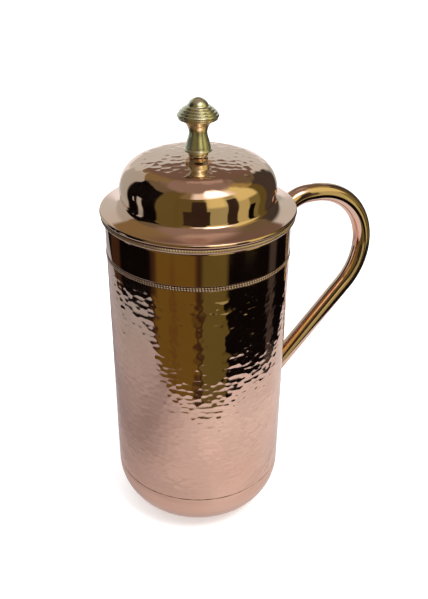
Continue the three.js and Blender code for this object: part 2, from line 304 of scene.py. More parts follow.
def hand_made(angle, height, amount, seed):
    """A slow, slight waviness of a hand-finished round wall."""
    random = np.random.default_rng(seed)
    wave = 0 * angle * height
    for turns in (2, 3, 5, 7):
        phase = random.uniform(0, TURN, 2)
        stretch = random.uniform(20, 60)
        wave = wave + np.sin(turns * angle + phase[0] + height * stretch) / turns
    return amount * wave


# ------------------------------------------------------------------ materials


# Noise scales: the higher, the finer.
PATCH_NOISE = 28
SMUDGE_NOISE = 70
STAIN_NOISE = 160
POLISH_NOISE = 900
NOISE_LOW, NOISE_HIGH = 0.3, 0.7  # where most of a noise texture's values lie
EVENLY = (1, 1, 1)
LINES_ROUND = (0.25, 0.25, 4.0)  # stretches noise into lines that run round a turned piece


def empty_tree(owner):
    """The node tree of a material or a world, with nothing in it yet."""
    owner.use_nodes = True
    owner.node_tree.nodes.clear()
    return owner.node_tree


def new_material(name):
    material = bpy.data.materials.new(name)
    tree = empty_tree(material)
    output = tree.nodes.new("ShaderNodeOutputMaterial")
    shader = tree.nodes.new("ShaderNodeBsdfPrincipled")
    tree.links.new(shader.outputs["BSDF"], output.inputs["Surface"])
    return material, tree, shader


def feed(tree, value, socket):
    """Gives a socket a plain number, a colour, or the output of another node."""
    if isinstance(value, (int, float)):
        socket.default_value = value
    elif isinstance(value, tuple):
        socket.default_value = (*value, 1)
    else:
        tree.links.new(value, socket)


def split_vector(tree, vector):
    split = tree.nodes.new("ShaderNodeSeparateXYZ")
    tree.links.new(vector, split.inputs["Vector"])
    return split.outputs


def arithmetic(tree, operation, *values):
    node = tree.nodes.new("ShaderNodeMath")
    node.operation = operation
    for socket, value in zip(node.inputs, values):
        feed(tree, value, socket)
    return node.outputs["Value"]


def distance(tree, x, y):
    squares = [arithmetic(tree, "MULTIPLY", value, value) for value in (x, y)]
    return arithmetic(tree, "SQRT", arithmetic(tree, "ADD", *squares))


def step(tree, value, start, end):
    """0 before `start` and 1 past `end`, with a smooth rise between them."""
    node = tree.nodes.new("ShaderNodeMapRange")
    node.interpolation_type = "SMOOTHSTEP"
    node.inputs["From Min"].default_value = start
    node.inputs["From Max"].default_value = end
    tree.links.new(value, node.inputs["Value"])
    return node.outputs["Result"]


def noise(tree, coordinates, scale, detail, stretch=EVENLY):
    mapping = tree.nodes.new("ShaderNodeMapping")
    mapping.inputs["Scale"].default_value = stretch
    tree.links.new(coordinates, mapping.inputs["Vector"])
    texture = tree.nodes.new("ShaderNodeTexNoise")
    texture.inputs["Scale"].default_value = scale
    texture.inputs["Detail"].default_value = detail
    tree.links.new(mapping.outputs["Vector"], texture.inputs["Vector"])
    return texture.outputs["Fac"]


def spread(tree, value, low, high):
    """Maps noise, which stays near its middle, onto low to high."""
    node = tree.nodes.new("ShaderNodeMapRange")
    node.inputs["From Min"].default_value = NOISE_LOW
    node.inputs["From Max"].default_value = NOISE_HIGH
    node.inputs["To Min"].default_value = low
    node.inputs["To Max"].default_value = high
    tree.links.new(value, node.inputs["Value"])
    return node.outputs["Result"]


def mix_colour(tree, factor, first, second, blend="MIX"):
    node = tree.nodes.new("ShaderNodeMix")
    node.data_type = "RGBA"
    node.blend_type = blend
    sockets = [i for i in node.inputs if i.type == "RGBA"]
    feed(tree, first, sockets[0])
    feed(tree, second, sockets[1])
    feed(tree, factor, node.inputs["Factor"])
    return [o for o in node.outputs if o.type == "RGBA"][0]


def multiply_colour(tree, first, second):
    return mix_colour(tree, 1.0, first, second, "MULTIPLY")


def metal(name, bright, dull, roughness, polish_stretch=EVENLY, polish_depth=0.004):
    """Polished metal: two tints in soft patches, uneven roughness, and fine lines, depth in mm."""
    material, tree, shader = new_material(name)
    where = tree.nodes.new("ShaderNodeTexCoord").outputs["Object"]
    shader.inputs["Metallic"].default_value = 1.0
    patches = spread(tree, noise(tree, where, PATCH_NOISE, 4), 0, 1)
    tree.links.new(mix_colour(tree, patches, bright, dull), shader.inputs["Base Color"])
    smudges = spread(tree, noise(tree, where, SMUDGE_NOISE, 5), *roughness)
    tree.links.new(smudges, shader.inputs["Roughness"])
    bump = tree.nodes.new("ShaderNodeBump")
    bump.inputs["Strength"].default_value = 1.0
    bump.inputs["Distance"].default_value = polish_depth * MM
    tree.links.new(noise(tree, where, POLISH_NOISE, 3, polish_stretch), bump.inputs["Height"])
    tree.links.new(bump.outputs["Normal"], shader.inputs["Normal"])
    return material


def darken_and_dull(material, mask, colour, roughness):
    """Darkens a metal and roughens it where the mask is 1: a stained seam, and darker hollows between
    milled teeth.
    """
    tree = material.node_tree
    shader = tree.nodes["Principled BSDF"]
    tint = shader.inputs["Base Color"].links[0].from_socket
    tree.links.new(mix_colour(tree, mask, tint, colour), shader.inputs["Base Color"])
    smooth = shader.inputs["Roughness"].links[0].from_socket
    node = tree.nodes.new("ShaderNodeMix")
    tree.links.new(mask, node.inputs["Factor"])
    tree.links.new(smooth, node.inputs["A"])
    node.inputs["B"].default_value = roughness
    tree.links.new(node.outputs["Result"], shader.inputs["Roughness"])


def crevice(material, radius, depth):
    """1 in the hollows of a turned or milled piece that lie deeper than its crests."""
    tree = material.node_tree
    where = split_vector(tree, tree.nodes.new("ShaderNodeTexCoord").outputs["Object"])
    return step(tree, distance(tree, where["X"], where["Y"]), radius, radius - depth)


def near_height(material, height, half, uneven):
    """1 in a narrow band round a height, with an uneven edge."""
    tree = material.node_tree
    where = tree.nodes.new("ShaderNodeTexCoord").outputs["Object"]
    up = split_vector(tree, where)["Z"]
    off = arithmetic(tree, "ABSOLUTE", arithmetic(tree, "SUBTRACT", up, height))
    wander = spread(tree, noise(tree, where, STAIN_NOISE, 3), -uneven, uneven)
    return step(tree, arithmetic(tree, "ADD", off, wander), half, 0.4 * half)


COPPER = (0.91, 0.63, 0.51)
COPPER_DULL = (0.86, 0.56, 0.44)
COPPER_WORN = (0.95, 0.74, 0.62)
HANDLE = (0.94, 0.67, 0.55)
HANDLE_DULL = (0.88, 0.58, 0.45)
BRAZE = (0.82, 0.62, 0.38)
BRAZE_DULL = (0.62, 0.42, 0.24)
BRASS = (0.96, 0.92, 0.74)
BRASS_DULL = (0.78, 0.73, 0.54)
STEEL = (0.62, 0.62, 0.63)
STEEL_DULL = (0.45, 0.45, 0.46)
HOLLOW_DARK = (0.10, 0.045, 0.030)
SEAM_STAIN = (0.30, 0.15, 0.11)

hammered_copper = metal("hammered_copper", COPPER, COPPER_DULL, (0.03, 0.09), LINES_ROUND, 0.005)
base_copper = metal("base_copper", COPPER, COPPER_DULL, (0.10, 0.20), LINES_ROUND, 0.006)
polished_copper = metal("polished_copper", COPPER, COPPER_DULL, (0.03, 0.08), LINES_ROUND, 0.002)
bead_copper = metal("bead_copper", COPPER_WORN, COPPER, (0.22, 0.36))
ring_copper = metal("ring_copper", COPPER_WORN, COPPER, (0.14, 0.26))
lid_copper = metal("lid_copper", COPPER, COPPER_DULL, (0.03, 0.09), EVENLY, 0.002)
handle_copper = metal("handle_copper", HANDLE, HANDLE_DULL, (0.04, 0.10))
braze_metal = metal("braze_filler", BRAZE, BRAZE_DULL, (0.20, 0.38))
knob_brass = metal("knob_brass", BRASS, BRASS_DULL, (0.20, 0.34), LINES_ROUND, 0.006)
screw_steel = metal("screw_steel", STEEL, STEEL_DULL, (0.22, 0.40))

# The bead and the ring are coloured darker and duller in the hollows between their teeth.
darken_and_dull(bead_copper, crevice(bead_copper, BAND_R + 0.20 * MM, 0.25 * MM), HOLLOW_DARK, 0.5)
darken_and_dull(ring_copper, crevice(ring_copper, RING_R - 0.30 * MM, 0.90 * MM), HOLLOW_DARK, 0.5)
darken_and_dull(hammered_copper, near_height(hammered_copper, WALL_BOTTOM, 0.40 * MM, 0.22 * MM), SEAM_STAIN, 0.5)
darken_and_dull(base_copper, near_height(base_copper, WALL_BOTTOM, 0.35 * MM, 0.20 * MM), SEAM_STAIN, 0.5)

# ------------------------------------------------------------------ jug body


def hammered_wall():
    """The straight wall: hammered up to the bead, and stepped in under the sleeve."""
    inside = WALL_R - SHEET
    edge = 0.15 * MM
    crease = 0.1 * MM
    ledge = BEAD_BOTTOM - edge
    ledge_inside = ledge - (WALL_R - NECK_R)
    outside = [(WALL_R, z) for z in np.linspace(WALL_BOTTOM + edge, ledge - crease, 244)]
    outside += [(WALL_R, ledge), (WALL_R - crease, ledge), (NECK_R + crease, ledge)]
    outside += [(NECK_R, z) for z in np.linspace(ledge + crease, WALL_TOP, 6)]
    outline = [(NECK_INSIDE, WALL_TOP), (NECK_INSIDE, ledge_inside)]
    outline += [(inside, ledge_inside - SHEET), (inside, WALL_BOTTOM + edge)]
    outline += arc((inside + edge, WALL_BOTTOM + edge), edge, 180, 270, 2)[1:]
    outline += arc((WALL_R - edge, WALL_BOTTOM + edge), edge, 270, 360, 2)
    outline += outside[1:]

    def offset(angle, radius, height):
        angle = angle + 0 * height
        height = height + 0 * angle
        outer = radius > WALL_R - 0.05 * MM
        zone = smooth_step(height, HAMMERED_LOW - 1 * MM, HAMMERED_LOW + 2 * MM)
        zone = zone * (1 - smooth_step(height, HAMMERED_HIGH - 2 * MM, HAMMERED_HIGH + 2 * MM))
        marks = wall_marks(angle, height, 7)
        level = np.quantile(marks, PLAIN_LEVEL)
        moved = np.where(outer, radius + zone * (marks - level), radius + 0 * angle)
        return moved + hand_made(angle, height, OUT_OF_ROUND, 3), height

    turned_piece("hammered_wall_sheet", outline, WALL_SIDES, "jug",
                 hammered_copper, ["hammered_wall"], offset)


def spun_base():
    """The rounded bottom, with a spigot that goes up inside the wall."""
    centre = (WALL_R - BASE_ROUNDING, BASE_ROUNDING)
    ledge = WALL_BOTTOM - 0.1 * MM
    spigot = WALL_R - SHEET - GAP
    edge = 0.15 * MM
    middle = 0.2 * MM
    outline = [(middle, 0.0), (FOOT_R, 0.0)]
    outline += arc(centre, BASE_ROUNDING, -90, 0, 30)
    outline += arc((WALL_R - edge, ledge - edge), edge, 0, 90, 3)
    outline += [(spigot, ledge), (spigot, top("base_cup")), (spigot - SHEET, top("base_cup"))]
    outline += [(spigot - SHEET, ledge - SHEET)]
    outline += arc(centre, BASE_ROUNDING - SHEET, 0, -90, 24)
    outline += [(middle, SHEET)]

    def offset(angle, radius, height):
        zone = smooth_step(height, 4 * MM, 20 * MM)
        return radius + zone * hand_made(angle, height, OUT_OF_ROUND, 5), height

    turned_piece("spun_base", outline, BASE_SIDES, "jug", base_copper,
                 ["base_cup"], offset)


def mouth_sleeve():
    """The plain polished band round the mouth."""
    edge = 0.2 * MM
    outline = [(SLEEVE_INSIDE, BAND_TOP), (SLEEVE_INSIDE, BAND_BOTTOM)]
    outline += arc((BAND_R - edge, BAND_BOTTOM + edge), edge, 270, 360, 3)
    outline += [(BAND_R, z) for z in np.linspace(BAND_BOTTOM + 0.5 * MM, BAND_TOP, 24)]

    def offset(angle, radius, height):
        return radius + hand_made(angle, height, 0.06 * MM, 11), height

    turned_piece("mouth_sleeve", outline, SLEEVE_SIDES, "jug", polished_copper,
                 ["mouth_band"], offset)


def milled_profile(radius, low, high, bulge, points):
    """Half an oval from `low` to `high`, which stands out by `bulge`."""
    middle, half = (low + high) / 2, (high - low) / 2
    angles = np.linspace(-math.pi / 2, math.pi / 2, points)
    return [(radius + bulge * math.cos(a), middle + half * math.sin(a)) for a in angles]


def tooth_shape(angle, up, teeth, pitch):
    """1 in the cuts between milled teeth and 0 on them. The teeth lean over by one in `pitch`."""
    return 0.5 + 0.5 * np.cos(teeth * angle + TURN * (up / pitch))


def milled_bead_ring():
    """Two milled rows side by side, along the sleeve's lower edge."""
    inside = SLEEVE_INSIDE
    middle = (BEAD_BOTTOM + BEAD_TOP) / 2
    cut = 0.45 * MM
    outline = [(inside, BEAD_TOP), (inside, BEAD_BOTTOM)]
    outline += milled_profile(inside + 0.1 * MM, BEAD_BOTTOM, middle, 1.0 * MM, 8)
    outline += milled_profile(inside + 0.1 * MM, middle, BEAD_TOP, 1.0 * MM, 8)[1:]

    def offset(angle, radius, height):
        outer = smooth_step(radius, inside + 0.2 * MM, inside + 0.6 * MM)
        return radius - cut * outer * tooth_shape(angle, height - middle, BEAD_TEETH, 9 * MM), height

    turned_piece("milled_bead_ring", outline, BEAD_TEETH * SIDES_PER_TOOTH, "jug",
                 bead_copper, ["milled_bead"], offset)


def mouth_ring():
    """The rope-like ring that caps the mouth, with a lip over the wall's edge."""
    inside = NECK_INSIDE
    middle = (RING_BOTTOM + RIM) / 2
    cut = 0.40 * MM
    outline = [(inside, RIM - 0.4 * MM), (inside, WALL_TOP + GAP), (SLEEVE_INSIDE, WALL_TOP + GAP)]
    outline += [(SLEEVE_INSIDE, RING_BOTTOM)]
    outline += milled_profile(BAND_R, RING_BOTTOM, RIM, RING_R - BAND_R, 17)
    outline += [(inside + 0.4 * MM, RIM)]

    def offset(angle, radius, height):
        outer = smooth_step(radius, RING_R - 1.2 * MM, RING_R - 0.3 * MM)
        return radius - cut * outer * tooth_shape(angle, height - middle, RING_TEETH, 5 * MM), height

    turned_piece("rope_ring", outline, RING_TEETH * SIDES_PER_TOOTH, "jug",
                 ring_copper, ["mouth_ring"], offset)


# ------------------------------------------------------------------ handle


def handle_line(start_x, end_x, spacing):
    """Centre line of the tube in the XZ plane, from the band round to the wall."""
    shoulder_x, shoulder_r, start = SHOULDER_BEND
    grip_x, grip_r, end = GRIP_BEND
    shoulder = (shoulder_x, HANDLE_TOP - shoulder_r)
    grip = (grip_x, HANDLE_TOP - grip_r)
    bends = arc(shoulder, shoulder_r, 90 + math.degrees(start), 90, 16)
    bends += arc(grip, grip_r, 90, -math.degrees(end), 60)
    (first_x, first_z), (last_x, last_z) = bends[0], bends[-1]
    line = [(start_x, first_z - (first_x - start_x) * math.tan(start))]
    line += bends
    line += [(end_x, last_z - (last_x - end_x) / math.tan(end))]
    return resample(line, spacing)


def swept(line, radius, sides):
    """Points of a round tube along a line in the XZ plane."""
    line = np.array(line)
    tangent = np.gradient(line, axis=0)
    tangent = tangent / np.linalg.norm(tangent, axis=1)[:, None]
    normal = np.stack([-tangent[:, 1], tangent[:, 0]], 1)
    angle = np.linspace(0, TURN, sides, endpoint=False)
    out = radius * np.cos(angle)[None, :]
    side = radius * np.sin(angle)[None, :] * np.ones((len(line), 1))
    x = line[:, 0:1] + normal[:, 0:1] * out
    z = line[:, 1:2] + normal[:, 1:2] * out
    return np.stack([x, side, z], -1)


def meet_wall(grid, wall_r):
    """Slides the first row of a swept grid along the tube, onto a round wall."""
    first, second = grid[0].copy(), grid[1].copy()
    direction = first - second
    a = direction[:, 0] ** 2 + direction[:, 1] ** 2
    b = 2 * (second[:, 0] * direction[:, 0] + second[:, 1] * direction[:, 1])
    c = second[:, 0] ** 2 + second[:, 1] ** 2 - wall_r ** 2
    slide = (-b - np.sqrt(b * b - 4 * a * c)) / (2 * a)
    grid[0] = second + direction * slide[:, None]
    return grid


def whole_handle_line():
    """The centre line, with one long last step into the wall at each end."""
    seen = handle_line(BAND_R + 9 * MM, WALL_R + 10 * MM, 1.6 * MM)
    ends = handle_line(BAND_R - 4 * MM, WALL_R - 6 * MM, 50 * MM)
    return ends[:1] + seen + ends[-1:]


def handle_tube():
    """The bent tube: an outer and an inner skin that meet at the tube's two ends."""
    skins = []
    for radius in (TUBE_R, TUBE_R - TUBE_SHEET):
        grid = swept(whole_handle_line(), radius, TUBE_SIDES)
        grid = meet_wall(grid, BAND_R + 0.05 * MM)
        grid = meet_wall(grid[::-1], WALL_R + 0.05 * MM)[::-1]
        skins.append(grid)
    outer, inner = skins
    rows = np.concatenate([outer, inner[::-1]])
    faces = ring_faces(len(rows), TUBE_SIDES)[:, ::-1]
    mesh_piece("handle_tube_bent", rows.reshape(-1, 3), faces, "jug", handle_copper,
               ["handle_tube"])


def braze_fillet(name, node, line, seat):
    """A concave saddle of filler round the tube, where the line's first step enters the wall."""
    inside = TUBE_R - 0.06 * MM
    section = []
    for turn in np.radians(np.linspace(0, 90, 11)):
        out, away = 1 - math.cos(turn), 1 - math.sin(turn)
        section.append((inside + BRAZE_WIDTH * out, BRAZE_HEIGHT * away))
    section.append((inside, 0.0))
    rows = [meet_wall(swept(line, radius, TUBE_SIDES), seat + away)[0] for radius, away in section]
    points = np.array(rows).reshape(-1, 3)
    faces = outward(points, ring_faces(len(rows), TUBE_SIDES))
    mesh_piece(name, points, faces, "jug", braze_metal, [node])


def outward(points, faces):
    """Turns the faces of a closed mesh over if they look inward, which makes its volume negative."""
    a, b, c = points[faces[:, 0]], points[faces[:, 1]], points[faces[:, 2]]
    volume = (np.cross(b - a, c - a) * a).sum()
    return faces if volume >= 0 else faces[:, ::-1]


# ------------------------------------------------------------------ lid


def crown_arc():
    """The crown's radius, its centre's height, and the angle in degrees where the shoulder begins."""
    reach_x = DOME_R - SHOULDER_R
    rise = DOME_TOP - SHOULDER_Z
    radius = (reach_x ** 2 + rise ** 2 - SHOULDER_R ** 2) / (2 * (rise - SHOULDER_R))
    centre_z = DOME_TOP - radius
    join = math.degrees(math.atan2(SHOULDER_Z - centre_z, reach_x))
    return radius, centre_z, join


def dome_face(inset, spacing):
    """The crown and the shoulder from the screw hole outward, moved in by the inset."""
    radius, centre_z, join = crown_arc()
    radius = radius - inset
    hole = math.degrees(math.acos(SCREW_HOLE / radius))
    face = arc((0, centre_z), radius, hole, join, 40)
    face += arc((DOME_R - SHOULDER_R, SHOULDER_Z), SHOULDER_R - inset, join, 0, 30)[1:]
    return resample(face, spacing)


def lid_outline():
    """The lid's section, and how many of its last points are the outside."""
    roll = (LID_R - ROLL_R, RIM + GAP + ROLL_R)
    roll_start, roll_end = 74, -205
    outside = dome_face(0, 0.75 * MM)
    sweep_top = (DOME_R, DOME_FOOT + 2.4 * MM)
    outside += resample([(DOME_R, SHOULDER_Z), sweep_top], 1.2 * MM)[1:]
    curl = arc(roll, ROLL_R, roll_start, roll_end, 24)
    curl_inside = arc(roll, ROLL_R - LID_SHEET, roll_end, roll_start, 12)
    outside += sweep(sweep_top, (DOME_R + 0.5 * MM, DOME_FOOT - 0.6 * MM), curl[0], 22)[1:-1]
    inside = [(DOME_R - LID_SHEET + 0.8 * MM, DOME_FOOT - LID_SHEET + 0.4 * MM)]
    inside += [(DOME_R - LID_SHEET, DOME_FOOT + 0.6 * MM)]
    inside += dome_face(LID_SHEET, 2.0 * MM)[::-1]
    return (outside + curl + curl_inside + inside)[::-1], len(outside)


def lid_shell():
    """The spun lid, hammered on its crown."""
    outline, outside_count = lid_outline()

    def offset(angle, radius, height):
        x, y = radius * np.cos(angle), radius * np.sin(angle)
        marks = crown_marks(x, y, 19)
        level = np.quantile(marks, PLAIN_LEVEL)
        row = np.arange(len(outline))[:, None]
        outer = row >= len(outline) - outside_count
        zone = 1 - smooth_step(radius, 40.5 * MM, 44.0 * MM)
        zone = zone * smooth_step(radius, 6.5 * MM, 8.5 * MM) * outer * (height > SHOULDER_Z)
        wave = hand_made(angle, height, OUT_OF_ROUND, 23) * smooth_step(radius, 20 * MM, 40 * MM)
        return radius + wave, height + zone * (marks - level)

    turned_piece("lid_shell_spun", outline, LID_SIDES, "lid", lid_copper,
                 ["lid_shell"], offset)


def lid_collar():
    """The skirt under the flange, turned in a little at its lower edge."""
    low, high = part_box("lid_collar")
    inside = COLLAR_R - LID_SHEET
    turn_in = 0.8 * MM
    outline = [(inside, high.z), (inside, low.z + 2 * turn_in)]
    outline += [(inside - 0.5 * turn_in, low.z + 0.8 * turn_in), (inside - turn_in, low.z)]
    outline += [(COLLAR_R - turn_in, low.z), (COLLAR_R - 0.4 * turn_in, low.z + 0.8 * turn_in)]
    outline += [(COLLAR_R, low.z + 2 * turn_in), (COLLAR_R, high.z)]
    turned_piece("lid_collar_ring", resample(outline, 1.5 * MM), COLLAR_SIDES, "lid",
                 polished_copper, ["lid_collar"])


# ------------------------------------------------------------------ knob and its fixing


def beads(circles, start, end, steps):
    """Outline over a row of overlapping round beads. Each circle is (radius, height, bead radius)."""
    outline = []
    first = start
    for here, following in zip(circles, circles[1:] + [None]):
        last = end
        onward = first
        if following:
            across, up = following[0] - here[0], following[1] - here[1]
            gap = math.hypot(across, up)
            heading = math.degrees(math.atan2(up, across))
            reach_here = (gap ** 2 + here[2] ** 2 - following[2] ** 2) / (2 * gap)
            spread_here = math.degrees(math.acos(reach_here / here[2]))
            spread_there = math.degrees(math.acos((gap - reach_here) / following[2]))
            last = heading - spread_here
            onward = heading - 180 + spread_there
        outline += arc(here[:2], here[2], first, last, steps)
        first = onward
    return outline


def brass_knob():
    """The finial: a rounded foot, a bell, a neck, a head of stacked rings and a button."""
    base = bottom("knob")
    tip = top("knob")
    head = tip - KNOB_HEAD_DROP * MM
    waist = tip - KNOB_WAIST_DROP * MM
    bore_end = base + KNOB_BORE * MM
    rounding = KNOB_FOOT_ROUNDING * MM
    button = KNOB_BUTTON_R * MM
    outline = [(SCREW_HOLE, base), (KNOB_SEAT_R * MM, base)]
    outline += arc((KNOB_FOOT_R * MM, base + rounding), rounding, -80, 80, 8)
    outline += [(r * MM, base + z * MM) for r, z in KNOB_BELL]
    outline += [(r * MM, waist + z * MM) for r, z in KNOB_NECK]
    rings = [(r * MM, head + z * MM, size * MM) for r, z, size in KNOB_RINGS]
    outline += beads(rings, -80, 112, 8)
    outline += arc((0, tip - button), button, 20, 89, 18)
    outline += [(0.1 * MM, bore_end), (SCREW_HOLE, bore_end)]
    turned_piece("brass_knob", outline, KNOB_SIDES, "lid", knob_brass, ["knob"])


def small_ring(name, node, rounding):
    """The spacer over the dome or the washer under it: a flat brass ring with rounded edges."""
    low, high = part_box(node)
    outer = reach(node)
    outline = [(SCREW_HOLE, high.z), (SCREW_HOLE, low.z)]
    outline += arc((outer - rounding, low.z + rounding), rounding, 270, 360, 5)
    outline += arc((outer - rounding, high.z - rounding), rounding, 0, 90, 5)
    turned_piece(name, outline, SMALL_RING_SIDES, "lid", knob_brass, [node])


def steel_screw():
    """The screw keeps its CAD mesh."""
    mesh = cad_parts["knob_screw"].data
    mesh.materials.clear()
    mesh.materials.append(screw_steel)


# ------------------------------------------------------------------ stage


def shadow_floor():
    """The floor that the camera sees. It stays out of the metal's reflections."""
    bpy.ops.mesh.primitive_plane_add(size=12, location=(0, 0, -0.0002))
    floor = bpy.context.object
    floor.name = "floor"
    material, tree, shader = new_material("pale_floor")
    shader.inputs["Base Color"].default_value = (0.97, 0.97, 0.97, 1)
    shader.inputs["Roughness"].default_value = 0.9
    shader.inputs["Specular IOR Level"].default_value = 0.0
    shader.inputs["Emission Color"].default_value = (1, 1, 1, 1)
    shader.inputs["Emission Strength"].default_value = 0.25
    floor.data.materials.append(material)
    floor.visible_glossy = False


def paper_material():
    """White paper that glows with painted light: painted uneven light across it, a painted shadow of the
    jug in the middle, and faint creases.
    """
    material = bpy.data.materials.new("paper")
    tree = empty_tree(material)
    output = tree.nodes.new("ShaderNodeOutputMaterial")
    glow = tree.nodes.new("ShaderNodeEmission")
    where = split_vector(tree, turned_coordinates(tree, "Object"))
    x, y = where["X"], where["Y"]
    # Painted light across the sheet, to the camera's right: dim at the left with a painted shadow of the
    # jug in it, brightest just right of the jug, and dimmer again far to the right.
    side = ramp(tree, arithmetic(tree, "ADD", x, 0.5), [
        (0.17, (0.38, 0.41, 0.42)), (0.28, (0.44, 0.43, 0.44)), (0.36, (0.32, 0.29, 0.30)),
        (0.45, (0.60, 0.55, 0.54)), (0.53, (0.76, 0.70, 0.68)), (0.65, (0.74, 0.70, 0.69)),
        (0.80, (0.64, 0.65, 0.66)),
    ])
    away = distance(tree, x, y)
    # Painted shadow of the jug: the sheet is darker close round its foot.
    near = ramp(tree, away, [(0.02, (0.78, 0.75, 0.75)), (0.10, (0.94, 0.93, 0.93)), (0.16, (1, 1, 1))])
    rings = tree.nodes.new("ShaderNodeCombineXYZ")
    for socket, value, scale in zip(rings.inputs, (away, x, y), (9, 1, 1)):
        feed(tree, arithmetic(tree, "MULTIPLY", value, scale), socket)
    creases = noise(tree, rings.outputs["Vector"], 9, 3)
    grain = ramp(tree, creases, [(0.36, (0.87, 0.87, 0.88)), (0.64, (1.07, 1.06, 1.05))])
    sheet_with_painted_light = multiply_colour(tree, multiply_colour(tree, side, near), grain)
    tree.links.new(sheet_with_painted_light, glow.inputs["Color"])
    tree.links.new(glow.outputs["Emission"], output.inputs["Surface"])
    return material


def paper_sheet():
    """The white sheet under the jug, which only the metal sees and which glows with painted light: it
    ends a hand's width in front.
    """
    # The sheet's edge, in metres from the jug: (to the camera's right, towards the camera).
    edge = [(-0.30, -0.70), (0.27, -0.70), (0.225, -0.12), (0.23, 0.03), (0.195, 0.14), (0.13, 0.18),
            (0.05, 0.20), (-0.04, 0.21), (-0.18, 0.18), (-0.315, 0.18), (-0.36, 0.02), (-0.345, -0.09)]
    c, s = math.cos(CAMERA_TURN), math.sin(CAMERA_TURN)
    points = [(right * c + near * s, right * s - near * c, -0.1 * MM) for right, near in edge]
    mesh = bpy.data.meshes.new("paper")
    mesh.from_pydata(points, [], [list(range(len(points)))])
    mesh.materials.append(paper_material())
    paper = bpy.data.objects.new("paper", mesh)
    bpy.context.scene.collection.objects.link(paper)
    paper.visible_camera = False
    paper.visible_diffuse = False
    paper.visible_shadow = False


def turned_coordinates(tree, kind):
    """Coordinates with X to the main camera's right and Y away from it."""
    mapping = tree.nodes.new("ShaderNodeMapping")
    mapping.vector_type = "POINT"
    mapping.inputs["Rotation"].default_value = (0, 0, -CAMERA_TURN)
    tree.links.new(tree.nodes.new("ShaderNodeTexCoord").outputs[kind], mapping.inputs["Vector"])
    return mapping.outputs["Vector"]


def ramp(tree, factor, stops):
    """A colour ramp through (position, colour) stops."""
    node = tree.nodes.new("ShaderNodeValToRGB")
    elements = node.color_ramp.elements
    while len(elements) > 1:
        elements.remove(elements[-1])
    elements[0].position, elements[0].color = stops[0][0], (*stops[0][1], 1)
    for position, colour in stops[1:]:
        elements.new(position).color = (*colour, 1)
    tree.links.new(factor, node.inputs["Fac"])
    return node.outputs["Color"]


def around(tree, turn, bands, soft=1.5):
    """Colours round the room: each band is (where it starts in degrees, colour)."""
    stops = []
    ends = [start for start, colour in bands[1:]] + [180]
    for (start, colour), end in zip(bands, ends):
        stops.append(((start + soft) / 360 + 0.5, colour))
        stops.append(((end - soft) / 360 + 0.5, colour))
    return ramp(tree, turn, stops)


def patch(tree, seen, turn, rise, azimuth, elevation, colour, soft):
    """Puts one window, door or lamp on the room's wall. Angles are in degrees."""
    inside = None
    for value, (low, high) in ((turn, azimuth), (rise, elevation)):
        middle, half = (low + high) / 2, (high - low) / 2
        off = arithmetic(tree, "ABSOLUTE", arithmetic(tree, "SUBTRACT", value, middle))
        part = step(tree, off, half + soft, half - soft)
        inside = part if inside is None else arithmetic(tree, "MULTIPLY", inside, part)
    return mix_colour(tree, inside, seen, colour)


WHITE = (0.90, 0.92, 0.92)
PALE = (0.43, 0.48, 0.44)
PALE_BACK = (0.58, 0.64, 0.61)
SKY_BRIGHT = (0.95, 0.93, 0.80)
GOLD = (0.140, 0.090, 0.015)
GOLD_WALL = (0.125, 0.103, 0.030)
GOLD_PALE = (0.36, 0.29, 0.10)
GOLD_BACK = (0.23, 0.18, 0.08)
CREAM = (0.36, 0.35, 0.155)
CREAM_WARM = (0.50, 0.47, 0.19)
GOLD_LIGHT = (0.75, 0.70, 0.28)
GOLD_OLIVE = (0.20, 0.185, 0.06)
OLIVE = (0.12, 0.10, 0.025)
TAUPE = (0.15, 0.125, 0.07)
MAUVE = (0.17, 0.12, 0.09)
MAUVE_HIGH = (0.27, 0.21, 0.17)
ROSE = (0.46, 0.37, 0.30)
SHADE = (0.06, 0.05, 0.04)
BROWN = (0.045, 0.022, 0.010)
DOOR = (0.035, 0.022, 0.014)
DARK = (0.0035, 0.0025, 0.0025)
GREY = (0.055, 0.048, 0.040)
LAMP = (3.0, 2.9, 2.6)
WOOD = (0.12, 0.065, 0.015)
DAYLIGHT = (1.1, 1.1, 1.1)  # what all but the metal's reflections see

# What stands in the room: (where azimuth 0 is, azimuths, elevations, colour, softness), in
# degrees. "front" is the photographer's side of the jug and "behind" is the other. Azimuths grow
# to the photographer's right, and later things cover earlier ones.
LOW_THINGS = [
    ("behind", (-31, 31), (7, 60), PALE_BACK, 4),
    ("front", (-34, -29), (-60, -26), WOOD, 3),
    ("front", (59, 95), (14, 45), GOLD_LIGHT, 4),
    ("front", (12, 41), (6, 45), GOLD_LIGHT, 6),
]
HIGH_THINGS = [
    ("behind", (-16, 34), (61, 74), ROSE, 7),
    ("front", (-119, -63), (20, 45), DARK, 1.5),
    ("front", (-95, -86), (-23, 4), PALE, 1),
    ("front", (-104, -101), (-12, -3), PALE, 0.8),
    ("front", (-9, 12), (-24.6, 30), DOOR, 0.8),
    ("front", (-21, 17), (-24.6, -7), DOOR, 0.8),
    ("front", (42, 58), (-24.6, 28), DOOR, 0.8),
    ("front", (77, 87), (-24, -7), DARK, 0.8),
    ("front", (14, 54), (44, 66), LAMP, 7),
]


def in_degrees(tree, angle):
    return arithmetic(tree, "MULTIPLY", angle, 180 / math.pi)


def put_things(tree, seen, things, turns, rise):
    for facing, azimuth, elevation, colour, soft in things:
        seen = patch(tree, seen, turns[facing], rise, azimuth, elevation, colour, soft)
    return seen


